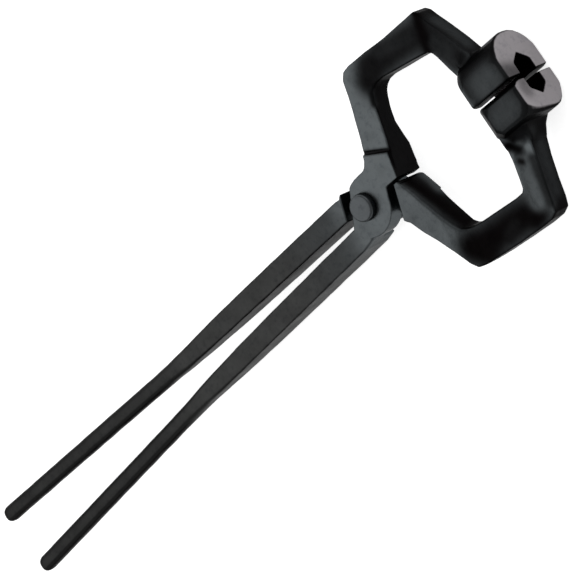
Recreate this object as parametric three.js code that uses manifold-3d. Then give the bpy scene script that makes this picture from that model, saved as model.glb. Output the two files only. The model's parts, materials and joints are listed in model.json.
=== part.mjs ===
import * as THREE from 'three';
import { mergeVertices } from 'three/addons/utils/BufferGeometryUtils.js';
import Module from 'manifold-3d';

// Blacksmith's bolt tongs, in millimetres: two forged halves crossed on one rivet.
// +X runs from the rivet to the jaws, +Y to the side of the upper half's arm and +Z up the rivet.
// A half is drawn as the upper one, about the plane where the halves lap: its arm is at +Y and its
// rein at -Y. The lower half is drawn the same way and turned over about X. The two are made to one
// pattern, but as hand forgings they differ a little in the bow, the jaw block and the rein's set.

const wasm = await Module();
wasm.setup();

// Joint
const bossThickness = 10; // of each half at the lap
const bossRadius = 16;
const bossFlat = 8.35; // from the rivet axis to the flat at the back of the boss
const bossFlatTurn = THREE.MathUtils.degToRad(145); // which way that flat faces
const lapGap = 0.3; // between the two bosses
const lapTurn = THREE.MathUtils.degToRad(22.6); // which way the recess shoulders face
const armShoulder = 20.6; // from the rivet axis to the shoulder on the arm's side
const reinShoulder = 13.5; // from the rivet axis to the shoulder on the rein's side
const rivetRadius = 4.75;
const rivetPlay = 0.1; // round the shank, in both halves
const rivetSeat = 0.2; // under the head and over the tail
const headRadius = 7.2;
const headRise = 3.6;
const tailRadius = 7;
const tailRise = 2.6;

// Bow
const crotch = 26.7; // from the rivet axis to the inner corner between the arms
const crotchGap = 1.2; // between the arms' end faces
const armLean = 0.28; // how far forward the arm's inner edge runs for each step sideways
const padReach = 13; // from the middle to the inner end of the step that ends the boss's pad
const padTurn = THREE.MathUtils.degToRad(155.4); // which way that step runs
const armRootWidth = 15.3; // along the step
const sideBarWidth = 15.8;
const barThickness = 12; // of the side and front bars
const cornerRun = 5.6; // how far the rear outer corner lies behind the inner one
const frontSlant = 9; // how far forward the front bar runs from its corner to the neck
const frontBarWidth = 13; // at its outer corner
const neckRun = 31.1; // from the front of the jaws back to the neck's inner edge

// How the bow's corners are rounded: how far each curve starts before the corner, how far it ends
// after it, and how far it is drawn along the tool.
const rearInnerRound = { before: 4, after: 7, shift: 1 };
const rearOuterRound = { before: 6, after: 5, shift: 2.5 };
const frontInnerRound = { before: 3, after: 3.5, shift: 1.2 };
const frontOuterRound = { before: 2.6, after: 2.6, shift: 1 };
const armFlare = { along: 3.6, side: 6 }; // of the arm's outer edge beyond the pad's step
const armTuck = { along: 4, side: 6 }; // how far the arm runs in under the boss
const neckFlare = { along: 7, side: 10 }; // of the front bar's outer edge towards the jaw
const neckTuck = 3; // how far outside the jaw block the front bar turns in to it
const bossTuck = 2.6; // how far the boss's plate starts behind the recess shoulder
const padFillet = 5; // where the pad's step runs into the back of the boss

// Sections of the neck, from the front bar to the jaw: how far outside the jaw block each lies, how
// far it reaches back and stops short of the bar's front, how much thicker it is and its chamfer.
const neckInset = 5.7; // of the sections from the neck's inner edge
const neckSections = [
  { side: 9, back: 7.5, front: 7, thicker: -0.2, chamfer: 1 },
  { side: 2, back: 5, front: 4, thicker: 1.5, chamfer: 1.5 },
];
const neckSink = { front: 5, chamfer: 3 }; // of the last section, inside the jaw block

// Jaw
const jawReach = 117.4; // from the rivet axis to the front of the jaws
const jawHeight = 34;
const jawGap = 2.54; // between the two lips at the front
const jawGapBack = 1.3; // and at the back of the jaws
const jawEdge = 1.4; // chamfer round the front and back faces
const notchHeight = 12.6; // takes a half-inch square or round bar
const notchWall = 6.8; // from the middle to where the notch starts to close
const notchReach = 11.1; // from the middle to the point of the notch

// Reins
const reinWidth = 11.7;
const reinDepth = 19.6;
const reinEdge = 0.9; // chamfer along the square stretch
const reinStart = 15; // where the rein leaves the boss
const reinMidLength = 75; // to where the rein is still deep
const reinMidDepth = 18;
const squareLength = 128; // to the end of the square stretch
const squareEndDepth = 14.8;
const bendAt = 168; // to the slight bend in each rein
const bendDepth = 11;
const gripStart = 194; // to the start of the round grip
const gripDiameter = 9.8;
const tipDiameter = 6.4;
const tipLength = 4.5;
const nubDiameter = 4;
const nubLength = 2;

// What differs from one half to the other. armBelly bows the arm's inner edge. bowWidth is from the
// middle to the outside of the side bar at its rear corner, and toe is how much nearer the middle its
// front corner is. neckWidth is the front bar's where it meets the jaw. jawFlat is how far the ground
// flats reach from the middle. reinOffset is where the rein leaves the boss, the leans are its slopes
// before and after the bend, and reinLength runs from the rivet axis to the tip.
const upperHalf = {
  armBelly: 2.4,
  bowWidth: 58.4,
  toe: 3.4,
  neckWidth: 12.8,
  jawWidth: 23.2,
  jawFlat: 13.2,
  jawLength: 25.8,
  reinOffset: -11,
  reinLean: THREE.MathUtils.degToRad(3.6),
  reinFarLean: THREE.MathUtils.degToRad(5.2),
  reinLength: 362.5,
};
const lowerHalf = {
  armBelly: 1,
  bowWidth: 58.2,
  toe: -1.8,
  neckWidth: 15.4,
  jawWidth: 18.6,
  jawFlat: 14.6,
  jawLength: 22,
  reinOffset: -5.6,
  reinLean: THREE.MathUtils.degToRad(-1.86),
  reinFarLean: THREE.MathUtils.degToRad(-0.66),
  reinLength: 366,
};

const deep = 2 * jawHeight; // longer than anything that is cut
const runIn = 0.5; // how far joined pieces run into each other

function solid(geometry) {
  geometry.deleteAttribute('normal');
  geometry.deleteAttribute('uv');
  const merged = mergeVertices(geometry, 1e-4);
  const vertProperties = new Float32Array(merged.attributes.position.array);
  const triVerts = new Uint32Array(merged.index.array);
  return new wasm.Manifold(new wasm.Mesh({ numProp: 3, vertProperties, triVerts }));
}

// A plan outline given height from one level to another.
function standing(shape, bottom, top) {
  const geometry = new THREE.ExtrudeGeometry(shape, {
    depth: top - bottom,
    bevelEnabled: false,
    curveSegments: 12,
  });
  return solid(geometry.translate(0, 0, bottom));
}

// An outline drawn as (y, z), carried along X, with its end faces chamfered.
function alongX(shape, back, front, chamfer = 0) {
  const geometry = new THREE.ExtrudeGeometry(shape, {
    depth: front - back - 2 * chamfer,
    bevelEnabled: chamfer > 0,
    bevelThickness: chamfer,
    bevelSize: chamfer,
    bevelOffset: -chamfer,
    bevelSegments: 1,
    curveSegments: 8,
  });
  const turn = new THREE.Matrix4().makeBasis(
    new THREE.Vector3(0, 1, 0),
    new THREE.Vector3(0, 0, 1),
    new THREE.Vector3(1, 0, 0)
  );
  geometry.applyMatrix4(turn);
  return solid(geometry.translate(back + chamfer, 0, 0));
}

// The corners of a bar's cross-section, an upright rectangle with its four edges chamfered.
function barSection(centre, across, halfWidth, halfDepth, chamfer) {
  const w = halfWidth;
  const d = halfDepth;
  const c = chamfer;
  const corners = [
    [w, d - c], [w - c, d], [c - w, d], [-w, d - c],
    [-w, c - d], [c - w, -d], [w - c, -d], [w, c - d],
  ];
  return corners.map(([side, rise]) => {
    const point = centre.clone().addScaledVector(across, side);
    point.z += rise;
    return point;
  });
}

// A closed skin over a row of cross-sections that all have the same number of corners.
function loft(sections) {
  const count = sections[0].length;
  const positions = sections.flat().flatMap((point) => point.toArray());
  const index = [];
  for (let s = 0; s + 1 < sections.length; s++) {
    for (let i = 0; i < count; i++) {
      const a = s * count + i;
      const b = s * count + ((i + 1) % count);
      index.push(a, b, b + count, a, b + count, a + count);
    }
  }
  const last = (sections.length - 1) * count;
  for (let i = 1; i + 1 < count; i++) {
    index.push(0, i + 1, i);
    index.push(last, last + i, last + i + 1);
  }
  const geometry = new THREE.BufferGeometry();
  geometry.setAttribute('position', new THREE.Float32BufferAttribute(positions, 3));
  geometry.setIndex(index);
  return solid(geometry);
}

function pointAt(distance, turn) {
  return new THREE.Vector2(distance * Math.cos(turn), distance * Math.sin(turn));
}

// The boss with the root of the arm, in plan. Its round side faces the other half's arm and its
// flat side the other half's rein.
function bossOutline() {
  const halfGap = crotchGap / 2;
  const flatHalf = Math.sqrt(bossRadius ** 2 - bossFlat ** 2);
  const flatEnd = pointAt(bossFlat, bossFlatTurn).add(pointAt(flatHalf, bossFlatTurn + Math.PI / 2));
  const flatStart = pointAt(bossFlat, bossFlatTurn).add(
    pointAt(0.63 * flatHalf, bossFlatTurn - Math.PI / 2)
  );
  const rootLine = armRoot();
  const bulge = new THREE.Vector2(0.42 * bossRadius, 0.87 * bossRadius);
  const outline = new THREE.Shape();
  outline.moveTo(armShoulder - bossTuck, halfGap);
  outline.lineTo(crotch, halfGap);
  outline.lineTo(rootLine.inner.x, rootLine.inner.y);
  outline.lineTo(rootLine.outer.x, rootLine.outer.y);
  outline.quadraticCurveTo(rootLine.outer.x - padFillet, bulge.y, bulge.x, bulge.y);
  outline.quadraticCurveTo(0.1 * bossRadius, bulge.y, flatStart.x, flatStart.y);
  outline.lineTo(flatEnd.x, flatEnd.y);
  outline.absarc(0, 0, bossRadius, flatEnd.angle(), 2 * Math.PI - lapTurn / 1.4, false);
  return outline;
}

// The two ends of the step where the raised pad on the boss gives way to the arm.
function armRoot() {
  const inner = new THREE.Vector2(crotch + armLean * padReach, padReach);
  const outer = inner.clone().add(pointAt(armRootWidth, padTurn));
  return { inner, outer };
}

// The arm, side bar and front bar of the bow, in plan.
function bowOutline(half) {
  const outside = half.bowWidth;
  const inside = outside - sideBarWidth;
  const frontOutside = outside - half.toe;
  const frontInside = inside - half.toe;
  const jawBack = jawReach - half.jawLength;
  const neckBack = jawReach - neckRun;
  const neckFront = neckBack + half.neckWidth;
  const rearCorner = crotch + armLean * inside;
  const rearOuter = rearCorner - cornerRun;
  const frontCorner = neckBack - 0.75 * frontSlant;
  const frontOuter = neckBack + frontBarWidth - 1.12 * frontSlant;
  const root = armRoot();
  const neckSide = half.jawWidth + neckTuck;
  const outline = new THREE.Shape();
  outline.moveTo(crotch, crotchGap / 2);
  outline.quadraticCurveTo(
    (crotch + rearCorner) / 2 + half.armBelly, inside / 2,
    rearCorner - rearInnerRound.shift, inside - rearInnerRound.before
  );
  outline.quadraticCurveTo(rearCorner, inside, rearCorner + rearInnerRound.after, inside);
  outline.lineTo(frontCorner - frontInnerRound.before, frontInside);
  outline.quadraticCurveTo(
    frontCorner, frontInside,
    frontCorner + frontInnerRound.shift, frontInside - frontInnerRound.after
  );
  outline.lineTo(neckBack, half.jawWidth);
  outline.lineTo(jawBack + 2, 0.45 * half.jawWidth);
  outline.lineTo(jawBack + 10, 0.8 * half.jawWidth);
  outline.lineTo(neckFront, neckSide);
  outline.quadraticCurveTo(
    frontOuter + neckFlare.along, neckSide + neckFlare.side,
    frontOuter + frontOuterRound.shift, frontOutside - frontOuterRound.before
  );
  outline.quadraticCurveTo(
    frontOuter, frontOutside,
    frontOuter - frontOuterRound.after, frontOutside
  );
  outline.lineTo(rearOuter + rearOuterRound.after, outside);
  outline.quadraticCurveTo(
    rearOuter, outside,
    rearOuter - rearOuterRound.shift, outside - rearOuterRound.before
  );
  outline.lineTo(root.outer.x + armFlare.along, root.outer.y + armFlare.side);
  outline.lineTo(root.outer.x, root.outer.y);
  outline.lineTo(root.outer.x - armTuck.along, root.outer.y - armTuck.side);
  return outline;
}

// How thick the bow is: as deep as the joint at the arm's root, and thinner from the rear corner on.
function bowThickness(half) {
  const full = bossThickness;
  const thin = barThickness / 2;
  const hollow = 0.15 * (full - thin);
  const inside = half.bowWidth - sideBarWidth;
  const middle = (crotch + jawReach) / 2 - 10;
  const taper = new THREE.Shape();
  taper.moveTo(0, -full);
  taper.lineTo(padReach, -full);
  taper.quadraticCurveTo((padReach + inside) / 2, -thin - hollow, inside, -thin);
  taper.lineTo(2 * inside, -thin);
  taper.lineTo(2 * inside, thin);
  taper.lineTo(inside, thin);
  taper.quadraticCurveTo((padReach + inside) / 2, thin + hollow, padReach, full);
  taper.lineTo(0, full);
  const even = new THREE.Shape();
  even.moveTo(0, -thin);
  even.lineTo(2 * inside, -thin);
  even.lineTo(2 * inside, thin);
  even.lineTo(0, thin);
  return alongX(taper, 0, middle).add(alongX(even, middle - runIn, jawReach));
}

// The shoulder that spreads from the thin front bar to the deep jaw block.
function neck(half) {
  const back = jawReach - neckRun + neckInset;
  const along = new THREE.Vector3(1, 0, 0);
  const stations = neckSections.map((section) => [
    half.jawWidth + section.side, back - section.back, back + half.neckWidth - section.front,
    barThickness / 2 + section.thicker, section.chamfer,
  ]);
  stations.push([
    0.7 * half.jawWidth, jawReach - 0.95 * half.jawLength, jawReach - neckSink.front,
    0.4 * jawHeight, neckSink.chamfer,
  ]);
  const sections = stations.map(([side, from, to, halfDepth, chamfer]) => {
    const centre = new THREE.Vector3((from + to) / 2, side, 0);
    return barSection(centre, along, (to - from) / 2, halfDepth, chamfer);
  });
  return loft(sections);
}

// The jaw block, a rounded half nut seen from the front.
function jawOutline(half) {
  const top = jawHeight / 2;
  const side = half.jawWidth;
  const flat = half.jawFlat;
  const shoulder = (flat + side) / 2;
  const outline = new THREE.Shape();
  outline.moveTo(0, -top);
  outline.lineTo(flat, -top);
  outline.lineTo(shoulder, -0.78 * top);
  outline.quadraticCurveTo(side, -0.45 * top, side, 0);
  outline.quadraticCurveTo(side, 0.45 * top, shoulder, 0.78 * top);
  outline.lineTo(flat, top);
  outline.lineTo(0, top);
  return outline;
}

// What is taken off the block to leave its lip, which leans away from the other lip to the front.
function lipCut(half) {
  const back = jawReach - half.jawLength;
  const outline = new THREE.Shape();
  outline.moveTo(back, -jawHeight);
  outline.lineTo(jawReach, -jawHeight);
  outline.lineTo(jawReach, jawGap / 2);
  outline.lineTo(back, jawGapBack / 2);
  return standing(outline, -deep, deep);
}

// The notch that both jaws share, square to the lips and then closing to a point.
function notchOutline() {
  const half = notchHeight / 2;
  const outline = new THREE.Shape();
  outline.moveTo(notchReach, 0);
  outline.lineTo(notchWall, half);
  outline.lineTo(-notchWall, half);
  outline.lineTo(-notchReach, 0);
  outline.lineTo(-notchWall, -half);
  outline.lineTo(notchWall, -half);
  return outline;
}

// How far to one side the middle of a rein is, at a distance behind the rivet.
function reinSide(half, distance) {
  const near = Math.min(distance, bendAt) - reinStart;
  const far = Math.max(distance - bendAt, 0);
  return half.reinOffset - near * Math.tan(half.reinLean) - far * Math.tan(half.reinFarLean);
}

// A rein, square from the boss, then drawn down to a round grip with a dressed end.
function reinBar(half) {
  const roundEdge = (diameter) => diameter * (1 - Math.SQRT1_2);
  const bodyEnd = half.reinLength - nubLength - tipLength;
  const stations = [
    [reinStart / 3, reinWidth, reinDepth, reinEdge],
    [reinStart, reinWidth, reinDepth, reinEdge],
    [reinMidLength, reinWidth, reinMidDepth, reinEdge],
    [squareLength, 0.97 * reinWidth, squareEndDepth, 1.2 * reinEdge],
    [bendAt, 0.86 * reinWidth, bendDepth, 2.2 * reinEdge],
    [gripStart, gripDiameter, gripDiameter, roundEdge(gripDiameter)],
    [bodyEnd, gripDiameter, gripDiameter, roundEdge(gripDiameter)],
    [bodyEnd + tipLength, tipDiameter, tipDiameter, roundEdge(tipDiameter)],
    [bodyEnd + tipLength + 0.1, nubDiameter, nubDiameter, roundEdge(nubDiameter)],
    [half.reinLength, nubDiameter - 1, nubDiameter - 1, roundEdge(nubDiameter - 1)],
  ];
  const across = new THREE.Vector3(0, -1, 0);
  const sections = stations.map(([distance, width, depth, chamfer]) => {
    const centre = new THREE.Vector3(-distance, reinSide(half, distance), 0);
    return barSection(centre, across, width / 2, depth / 2, chamfer);
  });
  return loft(sections);
}

// The recess under the boss where the other half's boss lies, between two parallel shoulders.
function lapRecess() {
  const forward = pointAt(1, lapTurn);
  const sideways = pointAt(deep, lapTurn + Math.PI / 2);
  const corner = (along, side) =>
    forward.clone().multiplyScalar(along).addScaledVector(sideways, side);
  const outline = new THREE.Shape([
    corner(-reinShoulder, -1),
    corner(armShoulder, -1),
    corner(armShoulder, 1),
    corner(-reinShoulder, 1),
  ]);
  return standing(outline, -deep, lapGap / 2);
}

function rivetBore() {
  const radius = rivetRadius + rivetPlay;
  const bore = new THREE.CylinderGeometry(radius, radius, deep, 48);
  return solid(bore.rotateX(Math.PI / 2));
}

// One forging from the jaw to the end of its rein.
function halfTongs(half) {
  const bow = standing(bowOutline(half), -deep, deep).intersect(bowThickness(half));
  const jaw = alongX(jawOutline(half), jawReach - half.jawLength, jawReach, jawEdge);
  const boss = standing(bossOutline(), -bossThickness, bossThickness);
  return boss
    .add(bow)
    .add(reinBar(half))
    .subtract(lapRecess())
    .subtract(rivetBore())
    .add(neck(half))
    .add(jaw.subtract(lipCut(half)))
    .subtract(alongX(notchOutline(), crotch, jawReach + deep));
}

// Shank, round head and peened tail in one, turned about the rivet axis.
function rivetSolid() {
  const seat = bossThickness + rivetSeat;
  const top = seat + headRise;
  const bottom = -seat - tailRise;
  const profile = [
    [0, bottom], [0.62 * tailRadius, bottom], [0.86 * tailRadius, bottom + 0.3 * tailRise],
    [tailRadius, -seat - 0.3 * tailRise], [tailRadius, -seat], [rivetRadius, -seat],
    [rivetRadius, seat], [headRadius, seat], [headRadius, top - 0.4 * headRise],
    [0.93 * headRadius, top - 0.14 * headRise], [0.8 * headRadius, top], [0, top],
  ];
  const points = profile.map(([radius, height]) => new THREE.Vector2(radius, height));
  return solid(new THREE.LatheGeometry(points, 48).rotateX(Math.PI / 2));
}

function named(name, body, material) {
  const { vertProperties, triVerts } = body.getMesh();
  const geometry = new THREE.BufferGeometry();
  geometry.setAttribute('position', new THREE.Float32BufferAttribute(vertProperties, 3));
  geometry.setIndex(new THREE.Uint32BufferAttribute(triVerts, 1));
  const mesh = new THREE.Mesh(geometry.toNonIndexed(), material);
  mesh.geometry.computeVertexNormals();
  mesh.name = name;
  return mesh;
}

const forgedBlack = new THREE.MeshStandardMaterial({ color: 0x23262a, roughness: 0.5, metalness: 0.7 });
const forgedBlackLower = forgedBlack.clone();
const rivetBlack = new THREE.MeshStandardMaterial({ color: 0x2b2e34, roughness: 0.45, metalness: 0.7 });

const tongs = new THREE.Group();
const lower = named('lower_half', halfTongs(lowerHalf), forgedBlackLower);
lower.rotation.x = Math.PI;
tongs.add(named('upper_half', halfTongs(upperHalf), forgedBlack));
tongs.add(lower);
tongs.add(named('rivet', rivetSolid(), rivetBlack));

// The origin is the middle of the flat on the rivet's tail.
const part = new THREE.Group();
tongs.position.z = bossThickness + rivetSeat + tailRise;
part.add(tongs);

export default part;
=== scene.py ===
import json
import math
import bpy
import bmesh
import numpy as np
from mathutils import Matrix, Quaternion, Vector, noise


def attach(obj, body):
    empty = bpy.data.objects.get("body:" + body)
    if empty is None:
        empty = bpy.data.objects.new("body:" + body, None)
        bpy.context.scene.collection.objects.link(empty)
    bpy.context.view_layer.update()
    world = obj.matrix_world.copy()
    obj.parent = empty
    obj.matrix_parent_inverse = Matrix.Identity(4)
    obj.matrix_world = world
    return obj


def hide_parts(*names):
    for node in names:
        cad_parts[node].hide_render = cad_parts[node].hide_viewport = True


# Blacksmith's bolt tongs. Shapes are drawn in millimetres about the middle of the lap, with
# +X from the rivet to the jaws and +Y to the side of the arm, and are scaled to metres when
# they are forged. The lower half is drawn like the upper one and turned over about X.

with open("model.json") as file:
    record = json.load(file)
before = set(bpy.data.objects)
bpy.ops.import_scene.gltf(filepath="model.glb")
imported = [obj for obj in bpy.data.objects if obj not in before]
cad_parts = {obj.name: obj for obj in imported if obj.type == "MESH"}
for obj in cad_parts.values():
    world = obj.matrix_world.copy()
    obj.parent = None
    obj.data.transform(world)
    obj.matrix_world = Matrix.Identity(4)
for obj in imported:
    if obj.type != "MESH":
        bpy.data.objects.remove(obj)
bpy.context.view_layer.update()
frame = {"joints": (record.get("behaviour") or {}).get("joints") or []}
mm = 0.001
pivot = Vector(frame["joints"][0]["pos_m"])  # middle of the lap on the rivet axis
print("frame loaded")

joint = {
    "thickness": 10.0,  # of each half at the lap
    "rootInset": 0.4,  # of the root plate from the far face
    "overlap": 1.0,  # of the root plate into the pad
    "radius": 16.0,
    "flat": 8.35,  # from the rivet axis to the back of the boss
    "flatTurn": 145.0,
    "flatShare": 0.63,  # how much of that flat's first half is kept
    "arcEnd": 344.0,  # where the round of the boss meets the arm
    "gap": 0.3,
    "lapTurn": 22.6,  # which way the recess shoulders face
    "armShoulder": 20.6,
    "reinShoulder": 13.5,
    "bore": 4.85,
    "notchWall": 6.8,
    "notchReach": 11.1,
    "notchHeight": 12.6,
    "lip": 1.27,  # from the middle to each lip at the front, just behind it and at the back
    "closeLip": 0.79,
    "backLip": 0.62,
}

# Bow stations run from the boss to the jaw: inner edge, outer edge, underside and top of the
# bar, and how far its inner wall stands back from that edge at the underside, half way up and at
# the top. Neck stations run to the jaw: how far from the middle, back, front, half depth and edge.
# Jaw levels run from the underside up: height, how far the block reaches from the middle, its
# front, its back, its front corner and how much is cut off its lip. A stroke runs from one point
# to another with a radius and an amount: dents go into the surface, the scale strokes set how
# dark the steel is drawn there (black forging scale together with painted shade and painted
# reflection, and painted highlight where the amount is low), and shine dims the ground front of
# the jaw. The pad and the root are the plan of the arm's start, above the lap and below it.
upperHalf = {
    "name": "upper_half_forging",
    "body": "upper",
    "node": "upper_half",
    "turned": False,
    "bow": [
        [(28.0, 4.0), (15.0, 16.5), -9.7, 9.0, (0.0, 0.0, 0.0)],
        [(31.4, 13.0), (16.6, 20.2), -9.2, 9.0, (0.6, 0.2, 0.0)],
        [(33.8, 18.4), (18.4, 24.4), -7.2, 8.8, (1.6, 0.7, 0.0)],
        [(35.6, 24.4), (20.8, 30.2), -5.8, 8.4, (2.3, 1.0, 0.0)],
        [(37.3, 31.0), (24.0, 38.8), -5.8, 7.8, (1.8, 0.6, 0.0)],
        [(38.4, 36.4), (27.0, 47.8), -6.0, 7.2, (0.4, 0.0, 0.0)],
        [(39.6, 39.8), (29.0, 54.8), -6.0, 6.8, (-0.6, -0.2, 0.0)],
        [(41.8, 41.8), (31.8, 58.0), -6.0, 6.4, (-0.9, -0.3, 0.0)],
        [(45.0, 43.0), (36.5, 58.8), -6.0, 6.1, (-0.8, -0.2, 0.0)],
        [(50.0, 42.9), (48.0, 58.3), -6.0, 6.0, (-0.6, 0.0, 0.0)],
        [(62.0, 40.8), (63.5, 57.2), -6.0, 6.0, (-0.4, 0.0, 0.0)],
        [(75.0, 38.5), (79.5, 56.9), -6.0, 6.0, (-0.2, 0.0, 0.0)],
        [(79.5, 37.4), (85.6, 56.9), -6.0, 6.0, (0.0, 0.0, 0.0)],
        [(81.6, 35.7), (87.8, 54.6), -5.8, 6.0, (0.2, 0.0, 0.0)],
        [(82.6, 33.0), (89.4, 50.4), -5.8, 6.0, (0.2, 0.0, 0.0)],
        [(84.0, 27.0), (92.8, 42.6), -5.8, 6.0, (0.2, 0.0, 0.0)],
        [(85.6, 21.0), (96.8, 32.4), -6.0, 6.0, (0.2, 0.0, 0.0)],
        [(87.4, 15.0), (99.4, 24.0), -6.2, 6.0, (0.2, 0.0, 0.0)],
    ],
    "neck": [
        [28.0, 87.2, 98.0, 5.4, 1.8],
        [24.0, 88.6, 99.6, 6.6, 2.8],
        [20.0, 90.0, 104.0, 8.6, 4.0],
        [14.0, 92.0, 112.0, 13.0, 5.0],
    ],
    "jaw": [
        [-17.0, 12.4, 115.8, 93.6, 3.0, 0.0],
        [-15.6, 14.8, 117.4, 91.8, 2.4, 0.0],
        [-13.4, 18.2, 117.4, 90.4, 1.6, 0.0],
        [-11.2, 20.3, 117.4, 89.4, 1.4, 0.0],
        [-8.2, 22.2, 117.4, 88.6, 1.3, 0.0],
        [-4.9, 23.2, 117.4, 88.0, 1.3, 0.0],
        [-1.5, 23.4, 117.4, 87.8, 1.3, 0.0],
        [1.8, 23.3, 117.4, 87.8, 1.3, 0.0],
        [5.6, 22.5, 117.4, 87.8, 1.3, 0.0],
        [9.4, 20.8, 117.4, 88.0, 1.3, 0.0],
        [12.4, 18.4, 117.4, 88.8, 1.5, 0.0],
        [14.2, 16.5, 117.4, 89.6, 2.0, 0.0],
        [15.8, 14.5, 117.2, 90.6, 2.8, 0.1],
        [17.0, 12.8, 115.9, 91.6, 3.2, 0.5],
    ],
    "rein": {"offset": -11.0, "lean": 3.6, "farLean": 5.2, "length": 362.5},
    "dents": [
        [(17.4, 20.4, 9.4), (30.6, 13.9, 9.4), 0.9, 0.8],  # under the pad's step
        [(93.0, 21.0, 7.0), (97.0, 24.0, 8.0), 3.0, 0.9],
        [(54.0, 50.0, 6.0), (60.0, 49.0, 6.0), 5.0, 0.3],
        [(88.0, 42.0, 6.0), (90.0, 36.0, 6.0), 3.5, 0.3],
    ],
    # painted shade, painted dark reflection and, where the amount is low, painted highlight on the
    # forging
    "scaleAndShade": [
        [(42.0, 46.0, 6.0), (47.0, 50.0, 6.0), 7.5, 1.0],
        [(40.0, 41.0, 6.5), (38.0, 36.0, 7.0), 2.4, 0.9],
        [(48.0, 50.0, 6.0), (84.0, 47.0, 6.0), 11.0, 0.955],
        [(56.0, 54.0, 6.0), (76.0, 49.0, 6.0), 4.0, 0.9],
        [(88.0, 44.0, 6.0), (93.0, 25.0, 6.0), 9.5, 0.94],
        [(81.0, 38.0, 6.0), (87.0, 55.0, 6.0), 3.2, 1.0],
        [(87.0, 38.0, 6.0), (90.0, 31.0, 6.0), 4.0, 0.86],
        [(86.0, 33.0, 6.0), (90.0, 24.0, 6.0), 2.2, 0.85],
        [(92.0, 47.0, 0.0), (98.0, 30.0, 0.0), 4.4, 0.78],
        # painted shadow along the pad's step
        [(17.6, 20.4, 9.0), (30.8, 13.8, 9.0), 1.6, 1.0],
        [(103.0, 6.0, 18.0), (108.0, 6.0, 18.0), 8.5, 0.56],
        [(87.5, 8.0, 8.0), (89.0, 18.0, 8.0), 1.8, 0.1],
    ],
    "shine": [
        [(117.4, 2.0, 9.0), (117.4, 4.0, 17.0), 6.0, 0.25],
    ],
    "pad": [(18.0, 0.6), (26.7, 0.6), (30.3, 13.0), (31.6, 13.4), (16.6, 20.2)],
    "root": [(18.0, 0.6), (26.5, 0.6), (27.6, 5.5), (28.0, 9.0), (16.2, 18.6)],
}
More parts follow.
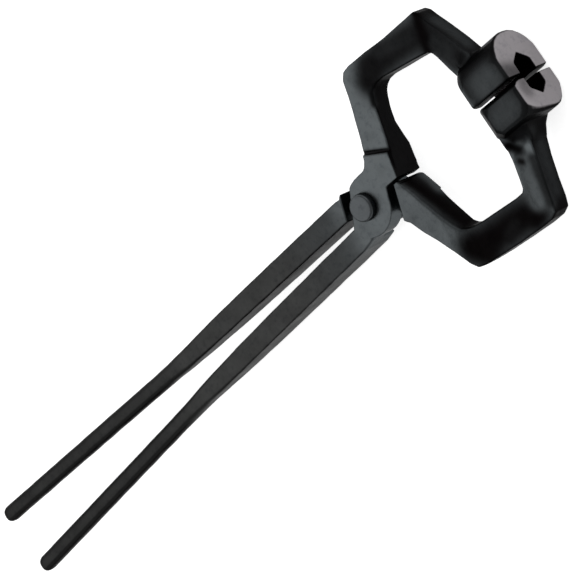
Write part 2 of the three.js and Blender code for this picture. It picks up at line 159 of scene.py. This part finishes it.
lowerHalf = {
    "name": "lower_half_forging",
    "body": "lower",
    "node": "lower_half",
    "turned": True,
    "bow": [
        [(26.0, 2.6), (13.0, 15.0), -9.7, 9.0, (0.0, -0.4, -0.8)],
        [(28.2, 7.6), (15.0, 18.0), -9.7, 8.8, (0.0, -0.6, -1.2)],
        [(30.0, 13.6), (17.2, 20.4), -9.5, 8.2, (0.0, -1.0, -1.5)],
        [(31.8, 20.0), (20.6, 28.6), -8.9, 6.8, (0.0, -1.6, -2.2)],
        [(33.8, 27.6), (24.0, 35.6), -8.1, 6.0, (0.0, -2.4, -3.0)],
        [(36.1, 33.8), (28.2, 44.9), -7.3, 6.0, (0.0, -2.4, -3.0)],
        [(38.4, 37.4), (31.4, 53.4), -6.7, 6.0, (0.0, -1.4, -1.8)],
        [(41.4, 39.2), (34.2, 57.4), -6.3, 6.0, (0.0, -0.4, -0.6)],
        [(45.0, 40.1), (39.5, 58.7), -6.0, 6.0, (0.0, 0.0, 0.0)],
        [(50.5, 40.8), (49.0, 59.5), -6.0, 6.0, (0.0, 0.0, 0.0)],
        [(62.0, 41.6), (63.0, 60.4), -6.0, 6.0, (0.0, 0.0, 0.0)],
        [(74.0, 42.3), (78.0, 60.9), -6.0, 6.0, (0.0, 0.0, 0.0)],
        [(79.2, 42.1), (85.4, 60.7), -6.0, 6.0, (0.0, 0.0, 0.0)],
        [(81.0, 40.4), (89.4, 59.0), -6.0, 6.0, (0.0, 0.0, 0.0)],
        [(82.2, 36.8), (91.4, 54.6), -6.0, 6.0, (0.0, 0.0, 0.0)],
        [(83.6, 32.0), (93.8, 46.6), -6.0, 6.0, (0.0, 0.0, 0.0)],
        [(85.2, 26.4), (97.8, 35.4), -6.2, 6.0, (0.0, 0.0, 0.0)],
        [(86.6, 21.0), (101.0, 27.2), -7.0, 6.6, (0.0, 0.0, 0.0)],
        [(88.0, 15.0), (103.0, 21.0), -8.6, 8.6, (0.0, 0.0, 0.0)],
    ],
    "neck": [
        [27.0, 86.4, 102.0, 6.6, 2.6],
        [22.0, 85.8, 105.0, 8.2, 4.0],
        [17.0, 88.0, 109.0, 11.6, 5.0],
        [11.0, 90.0, 114.0, 14.0, 5.0],
    ],
    "jaw": [
        [-17.0, 16.2, 115.8, 95.4, 5.0, 3.0],
        [-15.8, 17.4, 117.2, 93.8, 4.4, 2.0],
        [-13.6, 17.9, 117.4, 91.8, 3.4, 0.6],
        [-11.4, 18.2, 117.4, 89.8, 2.6, 0.0],
        [-8.4, 18.6, 117.4, 87.2, 2.2, 0.0],
        [-4.0, 19.0, 117.4, 84.8, 2.0, 0.0],
        [0.0, 19.2, 117.4, 84.2, 1.8, 0.0],
        [3.0, 19.3, 117.4, 84.8, 1.4, 0.0],
        [6.0, 19.2, 117.4, 86.0, 1.3, 0.0],
        [9.0, 18.4, 117.4, 87.8, 1.3, 0.0],
        [11.4, 16.9, 117.4, 89.6, 1.4, 0.0],
        [13.6, 14.6, 117.4, 91.6, 1.8, 0.0],
        [15.6, 12.0, 117.4, 93.6, 2.4, 0.0],
        [17.0, 10.4, 115.9, 95.2, 3.0, 0.4],
    ],
    "rein": {"offset": -5.6, "lean": -1.86, "farLean": -0.66, "length": 366.0},
    "dents": [
        [(90.0, 24.0, -7.4), (92.0, 27.0, -7.0), 3.2, 0.7],
        [(88.0, 30.0, -6.4), (90.0, 33.0, -6.4), 2.6, 0.5],
        [(87.0, 37.0, -6.2), (85.0, 50.0, -6.2), 3.2, 0.4],
        [(55.0, 50.0, -6.0), (66.0, 51.0, -6.0), 5.0, 0.35],
    ],
    # painted shade, painted dark reflection and, where the amount is low, painted highlight on the
    # forging
    "scaleAndShade": [
        [(20.0, 10.0, -10.0), (27.0, 34.0, -9.0), 9.0, 0.14],
        [(38.0, 48.0, -6.0), (44.0, 54.0, -6.0), 8.5, 1.0],
        [(44.0, 50.0, -6.0), (73.0, 51.5, -6.0), 13.5, 1.0],
        [(60.0, 54.0, -6.0), (66.0, 52.0, -6.0), 3.5, 0.96],
        [(27.0, 4.0, -4.0), (38.0, 36.0, 0.0), 5.0, 1.0],
        [(85.0, 57.0, -2.0), (78.0, 56.0, -6.0), 5.5, 1.0],
        # painted highlights on the inner facets of the front bar
        [(84.5, 50.0, -6.0), (87.0, 41.0, -6.0), 4.4, 0.3],
        [(87.0, 41.0, -6.0), (92.0, 30.0, -6.0), 4.4, 0.36],
        [(90.0, 54.0, -6.0), (96.0, 33.0, -6.0), 3.4, 0.86],
        [(94.5, 50.0, 0.0), (100.0, 30.0, 0.0), 4.5, 0.84],
        [(90.0, 22.0, -8.0), (92.0, 26.0, -7.4), 3.6, 1.0],
        [(88.5, 30.0, -6.4), (89.5, 31.0, -6.4), 2.2, 1.0],
        [(99.0, 22.0, -8.0), (103.0, 22.0, -6.0), 3.5, 0.9],
        [(103.0, 10.0, -18.0), (108.0, 9.0, -18.0), 8.5, 0.62],
        [(27.0, 5.0, 9.0), (31.0, 14.0, 8.0), 4.5, 0.45],
    ],
    "shine": [
        [(117.4, 3.0, -9.0), (117.4, 7.0, -10.0), 4.5, 0.5],
    ],
    "pad": [
        (18.0, 0.6), (24.2, 0.6), (26.4, 2.0), (28.0, 6.0),
        (30.2, 12.6), (30.6, 13.4), (16.6, 20.2),
    ],
    "root": [(18.0, 0.6), (24.6, 0.6), (25.6, 3.0), (27.4, 9.0), (16.2, 18.6)],
}
reinBar = {
    "start": 15.0,
    "bendAt": 168.0,
    "stations": [  # distance behind the rivet, width, depth, edge rounding
        [5.0, 9.2, 19.6, 1.6],
        [15.0, 11.7, 19.6, 0.9],
        [45.0, 11.7, 18.9, 0.9],
        [75.0, 11.7, 18.0, 0.9],
        [103.0, 11.5, 16.5, 1.0],
        [128.0, 11.3, 14.8, 1.2],
        [150.0, 10.8, 12.6, 1.8],
        [168.0, 10.2, 11.0, 2.6],
        [181.0, 9.9, 10.2, 3.8],
        [194.0, 9.8, 9.8, 4.8],
    ],
    "grip": 9.7,
    "tipRun": 5.0,  # over which the end rounds off
    "tipShare": 0.42,  # of the grip's width that is left at the end
    "nub": 3.6,
    "nubRun": 1.8,
    "gripSteps": 8,
    "tipSteps": 5,
}
forging = {
    "voxel": 0.45,
    "smoothing": 3,
    "lumpSize": 11.0,  # distance between the hammer's rises and hollows
    "lumpRise": 0.16,
    "rippleSize": 3.2,
    "rippleRise": 0.035,
    "rippleShift": (7.3, 1.9, 4.1),
    "still": 17.0,  # from the rivet axis; the working faces inside it stay true
    "stillRun": 14.0,
    "jawFrom": 84.0,  # ahead of the rivet, where the ground block starts
    "jawRun": 6.0,
    "jawShare": 0.2,  # of the rises and hollows that is left on the block
    "faces": 180000,
}


def skin(bm, rings):
    loops = [[bm.verts.new(point) for point in ring] for ring in rings]
    for near, far in zip(loops, loops[1:]):
        for i in range(len(near)):
            j = (i + 1) % len(near)
            bm.faces.new((near[i], near[j], far[j], far[i]))
    bm.faces.new(loops[0][::-1])
    bm.faces.new(loops[-1])


def plate(bm, outline, low, high):
    skin(bm, [[(x, y, z) for x, y in outline] for z in (low, high)])


def makePiece(name, bm):
    bmesh.ops.recalc_face_normals(bm, faces=bm.faces)
    mesh = bpy.data.meshes.new(name)
    bm.to_mesh(mesh)
    bm.free()
    piece = bpy.data.objects.new(name, mesh)
    bpy.context.scene.collection.objects.link(piece)
    return piece


def applyModifiers(piece):
    graph = bpy.context.evaluated_depsgraph_get()
    applied = bpy.data.meshes.new_from_object(piece.evaluated_get(graph))
    piece.modifiers.clear()
    piece.data = applied


def roundedSection(corners, steps=4):
    # points round a closed outline; each corner is (side, height, how far its edge is rounded)
    section = []
    for k, (side, height, radius) in enumerate(corners):
        corner = Vector((side, height))
        ends = []
        for neighbour in (corners[k - 1], corners[(k + 1) % len(corners)]):
            away = Vector(neighbour[:2]) - corner
            ends.append(corner + away.normalized() * min(radius, 0.45 * away.length))
        section += curve([ends[0], corner, ends[1]], steps)
    return section


def barSection(left, right, low, high, edge):
    corners = [(left, low), (right, low), (right, high), (left, high)]
    return roundedSection([(*corner, edge) for corner in corners])


bowEdges = {  # how far each edge of the bow is rounded
    "outerLow": 1.2,
    "outerHigh": 1.0,
    "innerLow": 1.6,
    "innerMiddle": 3.0,
    "innerHigh": 1.3,
}


def bowRing(station):
    inner, outer, low, high, (lowSide, midSide, highSide) = station
    start = Vector(inner)
    along = Vector(outer) - start
    width = along.length
    along.normalize()
    section = roundedSection([
        (width, low, bowEdges["outerLow"]), (width, high, bowEdges["outerHigh"]),
        (highSide, high, bowEdges["innerHigh"]),
        (midSide, (low + high) / 2, bowEdges["innerMiddle"]),
        (lowSide, low, bowEdges["innerLow"]),
    ])
    return [(*(start + along * side), height) for side, height in section]


def neckRing(station):
    side, back, front, halfDepth, edge = station
    return [(x, side, z) for x, z in barSection(back, front, -halfDepth, halfDepth, edge)]


jawBlock = {
    "backCut": 3.0,  # off the outer corner at the back
    "innerCut": 0.6,  # off the lip at the back
    "frontBend": 0.4,  # share of the front corner that is cut at each side of its bend
    "lipRun": 2.5,  # behind the front, over which the lips close
}


def jawRing(level):
    height, reach, front, back, cut, lipCut = level
    lip = joint["lip"] + lipCut
    closeLip = joint["closeLip"] + lipCut
    backLip = joint["backLip"] + lipCut
    bend = jawBlock["frontBend"] * cut
    innerCut = jawBlock["innerCut"] + lipCut
    outline = [
        (front, lip), (front, reach - cut), (front - bend, reach - bend), (front - cut, reach),
        (back + jawBlock["backCut"], reach), (back, reach - jawBlock["backCut"]),
        (back, backLip + innerCut), (back + innerCut, backLip), (front - jawBlock["lipRun"], closeLip),
    ]
    return [(x, y, height) for x, y in outline]


def arc(radius, fromTurn, toTurn, count):
    turns = [math.radians(fromTurn + (toTurn - fromTurn) * i / count) for i in range(count + 1)]
    return [(radius * math.cos(t), radius * math.sin(t)) for t in turns]


def curve(points, count=8):
    # a smooth bend through a start, a pull and an end
    a, b, c = (Vector(p) for p in points)
    steps = [i / count for i in range(count + 1)]
    return [tuple(a * (1 - t) ** 2 + b * 2 * t * (1 - t) + c * t ** 2) for t in steps]


def bossOutline(root):
    radius = joint["radius"]
    flatTurn = math.radians(joint["flatTurn"])
    facing = Vector((math.cos(flatTurn), math.sin(flatTurn)))
    sideways = Vector((-facing.y, facing.x))
    halfFlat = math.sqrt(radius ** 2 - joint["flat"] ** 2)
    flatEnd = facing * joint["flat"] + sideways * halfFlat
    flatStart = facing * joint["flat"] - sideways * joint["flatShare"] * halfFlat
    endTurn = math.degrees(math.atan2(flatEnd.y, flatEnd.x)) % 360
    outline = root + curve([(16.4, 19.6), (14.2, 14.2), (9.8, 13.9)])
    outline += curve([(6.7, 13.9), (0.6, 13.6), tuple(flatStart)])
    outline.append(tuple(flatEnd))
    return outline + arc(radius, endTurn, joint["arcEnd"], 36)[1:]


def reinSide(half, distance):
    # how far to one side the middle of a rein is
    rein = half["rein"]
    near = min(distance, reinBar["bendAt"]) - reinBar["start"]
    far = max(distance - reinBar["bendAt"], 0)
    lean = math.tan(math.radians(rein["lean"]))
    farLean = math.tan(math.radians(rein["farLean"]))
    return rein["offset"] - near * lean - far * farLean


def reinRings(half):
    length = half["rein"]["length"]
    grip = reinBar["grip"]
    nub = reinBar["nub"]
    tipRun = reinBar["tipRun"]
    tipShare = reinBar["tipShare"]
    roundEdge = 0.49  # share of the width that is rounded at each edge of a round bar
    bodyEnd = length - reinBar["nubRun"]
    gripStart = reinBar["stations"][-1][0]
    stations = [list(station) for station in reinBar["stations"]]
    for k in range(1, reinBar["gripSteps"] + 1):
        distance = gripStart + (bodyEnd - tipRun - gripStart) * k / reinBar["gripSteps"]
        stations.append([distance, grip, grip, roundEdge * grip])
    for k in range(1, reinBar["tipSteps"]):
        turn = math.radians(90 * k / reinBar["tipSteps"])
        size = grip * (tipShare + (1 - tipShare) * math.cos(turn))
        distance = bodyEnd - tipRun * (1 - math.sin(turn))
        stations.append([distance, size, size, roundEdge * size])
    for distance, size, edgeSize in ((bodyEnd, nub + 0.6, nub), (length, nub - 1, nub - 1)):
        stations.append([distance, size, size, roundEdge * edgeSize])
    rings = []
    for distance, width, depth, edge in stations:
        section = barSection(-width / 2, width / 2, -depth / 2, depth / 2, edge)
        centre = reinSide(half, distance)
        rings.append([(-distance, centre + side, height) for side, height in section])
    return rings


def blankShape(half):
    thickness = joint["thickness"]
    bm = bmesh.new()
    plate(bm, bossOutline(half["pad"]), 0, thickness)
    plate(bm, bossOutline(half["root"]), joint["rootInset"] - thickness, joint["overlap"])
    skin(bm, [bowRing(station) for station in half["bow"]])
    skin(bm, reinRings(half))
    skin(bm, [neckRing(station) for station in half["neck"]])
    skin(bm, [jawRing(level) for level in half["jaw"]])
    return makePiece(half["name"], bm)


cutters = {
    "far": 60.0,  # past every face of the lap
    "boreSides": 64,
    "notchFrom": 30.0,
    "notchTo": 130.0,
}


def cutterShape():
    far = cutters["far"]
    turn = math.radians(joint["lapTurn"])
    forward = Vector((math.cos(turn), math.sin(turn)))
    sideways = Vector((-forward.y, forward.x)) * far
    rear = -forward * joint["reinShoulder"]
    front = forward * joint["armShoulder"]
    corners = [rear - sideways, front - sideways, front + sideways, rear + sideways]
    bm = bmesh.new()
    plate(bm, [tuple(c) for c in corners], -far, joint["gap"] / 2)
    recess = makePiece("recess", bm)
    bm = bmesh.new()
    plate(bm, arc(joint["bore"], 0, 360, cutters["boreSides"])[:-1], -far, far)
    bore = makePiece("bore", bm)
    wall = joint["notchWall"]
    high = joint["notchHeight"] / 2
    reach = joint["notchReach"]
    outline = [(reach, 0), (wall, high), (-wall, high), (-reach, 0), (-wall, -high), (wall, -high)]
    bm = bmesh.new()
    ends = (cutters["notchFrom"], cutters["notchTo"])
    skin(bm, [[(x, y, z) for y, z in outline] for x in ends])
    notch = makePiece("notch", bm)
    return [recess, bore, notch]


def unevenness(point):
    # rises and hollows left by the hammer, fading out where the halves work on each other
    big = noise.noise(point / forging["lumpSize"])
    small = noise.noise(point / forging["rippleSize"] + Vector(forging["rippleShift"]))
    fromPivot = math.hypot(point.x, point.y)
    atWork = min(max((fromPivot - forging["still"]) / forging["stillRun"], 0), 1)
    atJaw = min(max((point.x - forging["jawFrom"]) / forging["jawRun"], 0), 1)
    share = atWork * (1 - (1 - forging["jawShare"]) * atJaw)
    return share * (forging["lumpRise"] * big + forging["rippleRise"] * small)


def closeness(places, stroke):
    # 1 along the stroke, falling to nothing a little beyond its radius
    start, end, radius, amount = stroke
    start = np.array(start)
    run = np.array(end) - start
    share = np.clip((places - start) @ run / max(run @ run, 1e-9), 0, 1)
    away = np.linalg.norm(places - start - share[:, None] * run, axis=1)
    return np.exp(-((away / radius) ** 3))


def meshArrays(mesh):
    places = np.empty(len(mesh.vertices) * 3)
    normals = np.empty(len(mesh.vertices) * 3)
    mesh.vertices.foreach_get("co", places)
    mesh.vertex_normals.foreach_get("vector", normals)
    return places.reshape(-1, 3), normals.reshape(-1, 3)


def forge(piece, half):
    places, normals = meshArrays(piece.data)
    rise = np.array([unevenness(Vector(p)) for p in places])
    for stroke in half["dents"]:
        rise -= stroke[3] * closeness(places, stroke)
    places = places + normals * rise[:, None]
    piece.data.vertices.foreach_set("co", places.ravel())
    piece.data.update()


def ramp(values, limits):
    # 0 below the first limit, 1 above the second, smooth between
    share = np.clip((values - limits[0]) / (limits[1] - limits[0]), 0, 1)
    return share * share * (3 - 2 * share)


finishAndShadeRules = {  # how dark the steel is drawn, for black forging scale together with painted shade and painted reflection, and between which limits each part of it comes in
    "wall": 0.965,
    "wallUpright": (0.62, 0.88),  # a wall below the first, a flat above the second
    "wallFrom": (14, 24),
    "block": 0.955,
    "blockFrom": (91, 94),
    "blockSide": (21, 24),
    "rein": 0.62,
    "reinFrom": (4, 30),
    "grip": 0.12,  # more than the rein
    "gripFrom": (165, 215),
    "edge": 0.95,
    "edgeUpright": 0.7,
    "edgeSpread": 0.2,
    "edgeFrom": (10, 20),
    "edgeTo": (150, 190),
    "gripSideShade": 0.97,
    "gripUpright": (0.55, 0.98),
    "gripSideFrom": (165, 200),
    "notchHalf": (6.5, 11.3),  # how far up and out the notch is black
    "notchRun": (60, 117.2),
    "notchFacing": 0.7,  # faces that look further forward than this are the ground front
    "groundFacing": (0.75, 0.95),
    "groundFrom": (115, 116.5),
}


def paintScaleAndShade(places, normals, strokes):
    rule = finishAndShadeRules
    x, y, z = places.T
    upright = np.abs(normals[:, 2])
    # painted shade: the walls of the bow are drawn near black
    wall = rule["wall"] * (1 - ramp(upright, rule["wallUpright"])) * ramp(x, rule["wallFrom"])
    block = rule["block"] * ramp(x, rule["blockFrom"]) * (1 - ramp(y, rule["blockSide"]))
    rein = rule["rein"] * ramp(-x, rule["reinFrom"]) + rule["grip"] * ramp(-x, rule["gripFrom"])
    # painted dark reflection along the edges of the reins
    fromEdge = (upright - rule["edgeUpright"]) / rule["edgeSpread"]
    alongRein = ramp(-x, rule["edgeFrom"]) * (1 - ramp(-x, rule["edgeTo"]))
    reinEdgeDarkReflection = rule["edge"] * np.exp(-(fromEdge ** 2)) * alongRein
    # painted shade: the round grips darken towards their sides
    gripSideShade = 1 - ramp(upright, rule["gripUpright"])
    gripSideShade *= rule["gripSideShade"] * ramp(-x, rule["gripSideFrom"])
    scaleAndShade = np.maximum.reduce([wall, block, rein, reinEdgeDarkReflection, gripSideShade])
    # each stroke paints a patch of shade, dark reflection or highlight onto the steel
    for stroke in strokes:
        scaleAndShade += (stroke[3] - scaleAndShade) * closeness(places, stroke)
    # painted shade: the notch between the jaws is drawn black
    shadedNotch = (np.abs(z) < rule["notchHalf"][0]) & (y < rule["notchHalf"][1])
    shadedNotch &= (x > rule["notchRun"][0]) & (x < rule["notchRun"][1])
    scaleAndShade[shadedNotch & (normals[:, 0] < rule["notchFacing"])] = 1.0
    return scaleAndShade


def groundShine(places, normals, strokes):
    rule = finishAndShadeRules
    shine = ramp(normals[:, 0], rule["groundFacing"]) * ramp(places[:, 0], rule["groundFrom"])
    for stroke in strokes:
        shine *= 1 + (stroke[3] - 1) * closeness(places, stroke)
    return shine


def paintFinish(piece, half):
    # two values at each point: how dark the steel is drawn, for black forging scale together with
    # painted shade and painted reflection, and how bright the ground faces are
    places, normals = meshArrays(piece.data)
    layers = {
        "scaleAndShade": paintScaleAndShade(places, normals, half["scaleAndShade"]),
        "shine": groundShine(places, normals, half["shine"]),
    }
    for name, values in layers.items():
        layer = piece.data.attributes.new(name, "FLOAT", "POINT")
        layer.data.foreach_set("value", values.astype(np.float32))


def buildHalf(half):
    piece = blankShape(half)
    for cutter in cutterShape():
        cut = piece.modifiers.new("cut", "BOOLEAN")
        cut.operation = "DIFFERENCE"
        cut.solver = "EXACT"
        cut.use_self = True
        cut.object = cutter
        applyModifiers(piece)
        bpy.data.objects.remove(cutter)
    remesh = piece.modifiers.new("remesh", "REMESH")
    remesh.mode = "VOXEL"
    remesh.voxel_size = forging["voxel"]
    smooth = piece.modifiers.new("smooth", "SMOOTH")
    smooth.factor = 0.5
    smooth.iterations = forging["smoothing"]
    applyModifiers(piece)
    forge(piece, half)
    triangles = 2 * len(piece.data.polygons)
    thin = piece.modifiers.new("thin", "DECIMATE")
    thin.ratio = min(forging["faces"] / triangles, 1)
    applyModifiers(piece)
    paintFinish(piece, half)
    place = Matrix.Translation(pivot) @ Matrix.Scale(mm, 4)
    if half["turned"]:
        place = place @ Matrix.Rotation(math.pi, 4, "X")
    piece.data.transform(place)
    piece.data.shade_smooth()
    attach(piece, half["body"])
    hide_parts(half["node"])
    print(piece.name, len(piece.data.polygons), "faces from", triangles)
    return piece


upperForging = buildHalf(upperHalf)
lowerForging = buildHalf(lowerHalf)

rivetShape = {
    "shank": 4.6,
    "seat": 10.2,  # from the middle of the lap to the underside of the head
    "headFlat": 5.9,
    "headRadius": 7.15,
    "headRise": 3.6,
    "tailFlat": 4.4,
    "tailRadius": 6.9,
    "tailRise": 2.6,
    "segments": 96,
}


def headProfile(seat, rise, flat, radius):
    # from the seat out and up over the rounded edge to the middle
    top = seat + rise
    side = radius - 0.05
    profile = [(radius - 0.25, seat), (radius, seat + 0.3), (side, seat + 0.45 * rise)]
    edge = [(side - 0.05, seat + 0.55 * rise), (side - 0.2, top - 0.1), (flat, top)]
    return profile + curve(edge) + [(0.6 * flat, top), (0.2 * flat, top)]


def buildRivet():
    shape = rivetShape
    head = headProfile(shape["seat"], shape["headRise"], shape["headFlat"], shape["headRadius"])
    tail = headProfile(shape["seat"], shape["tailRise"], shape["tailFlat"], shape["tailRadius"])
    profile = [(r, -z) for r, z in reversed(tail)] + [(shape["shank"], -shape["seat"])]
    profile += [(shape["shank"], shape["seat"])] + head
    rings = []
    for radius, height in profile:
        rings.append([(x, y, height) for x, y in arc(radius, 0, 360, shape["segments"])[:-1]])
    bm = bmesh.new()
    skin(bm, rings)
    piece = makePiece("rivet_steel_pin", bm)
    piece.data.transform(Matrix.Translation(pivot) @ Matrix.Scale(mm, 4))
    piece.data.shade_smooth()
    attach(piece, "lower")
    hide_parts("rivet")
    print(piece.name, len(piece.data.polygons), "faces")
    return piece


rivetPin = buildRivet()


class Wire:
    # a shader socket that can be used in sums; an expression adds its own Math nodes
    def __init__(self, tree, socket=None):
        self.tree = tree
        self.socket = socket

    def node(self, kind, settings={}, sockets={}, out=0):
        made = self.tree.nodes.new("ShaderNode" + kind)
        for name, value in settings.items():
            setattr(made, name, value)
        for name, value in sockets.items():
            if isinstance(value, Wire):
                self.tree.links.new(value.socket, made.inputs[name])
            else:
                made.inputs[name].default_value = value
        return Wire(self.tree, made.outputs[out])

    def maths(self, operation, first, second):
        return self.node("Math", {"operation": operation}, {0: first, 1: second})

    def __add__(self, other):
        return self.maths("ADD", self, other)

    def __radd__(self, other):
        return self.maths("ADD", other, self)

    def __sub__(self, other):
        return self.maths("SUBTRACT", self, other)

    def __rsub__(self, other):
        return self.maths("SUBTRACT", other, self)

    def __mul__(self, other):
        return self.maths("MULTIPLY", self, other)

    def __rmul__(self, other):
        return self.maths("MULTIPLY", other, self)

    def step(self, low, high):
        # 0 below low, 1 above high, smooth between
        settings = {"interpolation_type": "SMOOTHSTEP"}
        return self.node("MapRange", settings, {0: self, 1: low, 2: high})

    def mix(self, first, second):
        # from one colour to another as this value goes from 0 to 1
        return self.node("Mix", {"data_type": "RGBA"}, {0: self, 6: first, 7: second}, 2)

    def tint(self, colour, by):
        # a colour multiplied by another as far as this value says
        settings = {"data_type": "RGBA", "blend_type": "MULTIPLY"}
        return self.node("Mix", settings, {0: self, 6: colour, 7: by}, 2)

    def feed(self, shader, name):
        self.tree.links.new(self.socket, shader.inputs[name])


def newMaterial(name):
    material = bpy.data.materials.new(name)
    material.use_nodes = True
    tree = material.node_tree
    return material, tree.nodes["Principled BSDF"], Wire(tree)


blackSteel = {
    "satin": (0.086, 0.095, 0.099, 1),
    # near-black colour of the forging scale, also used for painted shade and painted dark reflection
    "scaleAndShade": (0.0026, 0.0021, 0.0022, 1),
    "ground": (0.225, 0.212, 0.22, 1),
    "handled": (1.0, 0.93, 0.88, 1),  # over the reins
    "roughness": 0.33,
    "grazing": (0.5, 0.5, 0.5, 1),
}
rivetSteel = {
    "satin": (0.070, 0.076, 0.080, 1),
    "scaleAndShade": (0.02, 0.02, 0.02, 1),
    "ground": (0.21, 0.198, 0.205, 1),
    "handled": (1.0, 1.0, 1.0, 1),
    "roughness": 0.30,
    "grazing": (0.5, 0.5, 0.5, 1),
}
surface = {
    "mottle": {"Scale": 90.0, "Detail": 4.0},
    "blotch": {"Scale": 320.0, "Detail": 5.0, "Roughness": 0.65},
    "grain": {"Scale": 1500.0, "Detail": 3.0},
    "mottling": 0.45,
    "flecks": 0.5,
    "fleckStep": (0.48, 0.72),
    "fleckTint": (0.60, 0.62, 0.66, 1),
    "roughMottle": 0.16,
    "roughBlotch": 0.08,
    "roughScale": 0.06,
    "bump": {"Strength": 0.32, "Distance": 0.0002},
    "handledRun": 0.08,  # metres behind the rivet over which the reins lose their blue
}


def makeForgedSteel(name, look):
    material, shader, wire = newMaterial(name)
    places = wire.node("TexCoord", out=3)
    scaleAndShade = wire.node("Attribute", {"attribute_name": "scaleAndShade"}, {}, 2)
    shine = wire.node("Attribute", {"attribute_name": "shine"}, {}, 2)
    mottle = wire.node("TexNoise", {}, {"Vector": places, **surface["mottle"]})
    blotch = wire.node("TexNoise", {}, {"Vector": places, **surface["blotch"]})
    grain = wire.node("TexNoise", {}, {"Vector": places, **surface["grain"]})
    x = wire.node("SeparateXYZ", {}, {0: places})
    handled = (0.0 - x).step(0.0, surface["handledRun"])
    flecks = blotch.step(*surface["fleckStep"]) * surface["flecks"]
    # the scale layer darkens the steel: black forging scale together with painted shade and painted
    # reflection, with random mottle added
    blackenedAndShaded = scaleAndShade + surface["mottling"] * (mottle - 0.5) * (1 - scaleAndShade)
    colour = blackenedAndShaded.mix(look["satin"], look["scaleAndShade"])
    colour = handled.tint(colour, look["handled"])
    colour = shine.mix(colour, look["ground"])
    flecks.tint(colour, surface["fleckTint"]).feed(shader, "Base Color")
    rough = look["roughness"] + surface["roughMottle"] * (mottle - 0.5)
    rough = rough + surface["roughBlotch"] * (blotch - 0.5) + surface["roughScale"] * scaleAndShade
    rough.feed(shader, "Roughness")
    height = grain + 2 * blotch + 4 * mottle
    wire.node("Bump", {}, {**surface["bump"], "Height": height}).feed(shader, "Normal")
    shader.inputs["Metallic"].default_value = 1.0
    shader.inputs["Specular Tint"].default_value = look["grazing"]
    return material


blackFinish = makeForgedSteel("blackForgedSteel", blackSteel)
rivetFinish = makeForgedSteel("hammeredRivetSteel", rivetSteel)
upperForging.data.materials.append(blackFinish)
lowerForging.data.materials.append(blackFinish)
rivetPin.data.materials.append(rivetFinish)
print("finishes made")

studio = {
    "floor": -0.0043,
    "floorSize": 4.0,
    "floorGlow": 0.76,
    "roomLight": 0.45,
    "aim": (-0.12, 0.0, 0.0),
    "boxes": [  # direction, distance, size, power
        ("softboxBehind", (-0.66, 0.13, 0.74), 1.7, 1.5, 7.2),
        ("softboxLeft", (-0.42, 0.80, 0.42), 1.9, 1.3, 5.0),
        ("softboxFront", (0.68, 0.62, 0.36), 1.9, 1.5, 6.0),
    ],
}


def makeFloor():
    bm = bmesh.new()
    half = studio["floorSize"] / 2
    corners = [(-half, -half), (half, -half), (half, half), (-half, half)]
    bm.faces.new([bm.verts.new((x, y, studio["floor"])) for x, y in corners])
    floor = makePiece("floor", bm)
    material, shader = newMaterial("palePaper")[:2]
    shader.inputs["Base Color"].default_value = (0.9, 0.9, 0.9, 1)
    shader.inputs["Roughness"].default_value = 0.9
    shader.inputs["Emission Color"].default_value = (1, 1, 1, 1)
    shader.inputs["Emission Strength"].default_value = studio["floorGlow"]
    floor.data.materials.append(material)


def addBox(name, direction, distance, size, power):
    light = bpy.data.lights.new(name, "AREA")
    light.shape = "SQUARE"
    light.size = size
    light.energy = power
    lamp = bpy.data.objects.new(name, light)
    facing = Vector(direction).normalized()
    lamp.location = Vector(studio["aim"]) + facing * distance
    lamp.rotation_mode = "QUATERNION"
    lamp.rotation_quaternion = facing.to_track_quat("Z", "Y")
    bpy.context.scene.collection.objects.link(lamp)


def makeWorld():
    world = bpy.data.worlds.new("room")
    world.use_nodes = True
    world.node_tree.nodes["Background"].inputs["Color"].default_value = (1, 1, 1, 1)
    world.node_tree.nodes["Background"].inputs["Strength"].default_value = studio["roomLight"]
    bpy.context.scene.world = world


makeFloor()
for box in studio["boxes"]:
    addBox(*box)
makeWorld()
bpy.context.scene.view_settings.view_transform = "Standard"

cameraView = {
    "place": (0.7341, -0.1638, 0.9188),
    "aim": (-0.0801, -0.0046, 0.0128),
    "roll": -115.19,
    "lens": 150.0,
}
cameraData = bpy.data.cameras.new("camera")
cameraData.lens = cameraView["lens"]
cameraData.sensor_width = 36.0
cameraData.clip_end = 20.0
camera = bpy.data.objects.new("camera", cameraData)
bpy.context.scene.collection.objects.link(camera)
camera.location = cameraView["place"]
sight = Vector(cameraView["aim"]) - camera.location
upright = sight.to_track_quat("-Z", "Y")
camera.rotation_mode = "QUATERNION"
camera.rotation_quaternion = upright @ Quaternion((0, 0, 1), math.radians(cameraView["roll"]))
bpy.context.scene.camera = camera
print("studio and camera set")
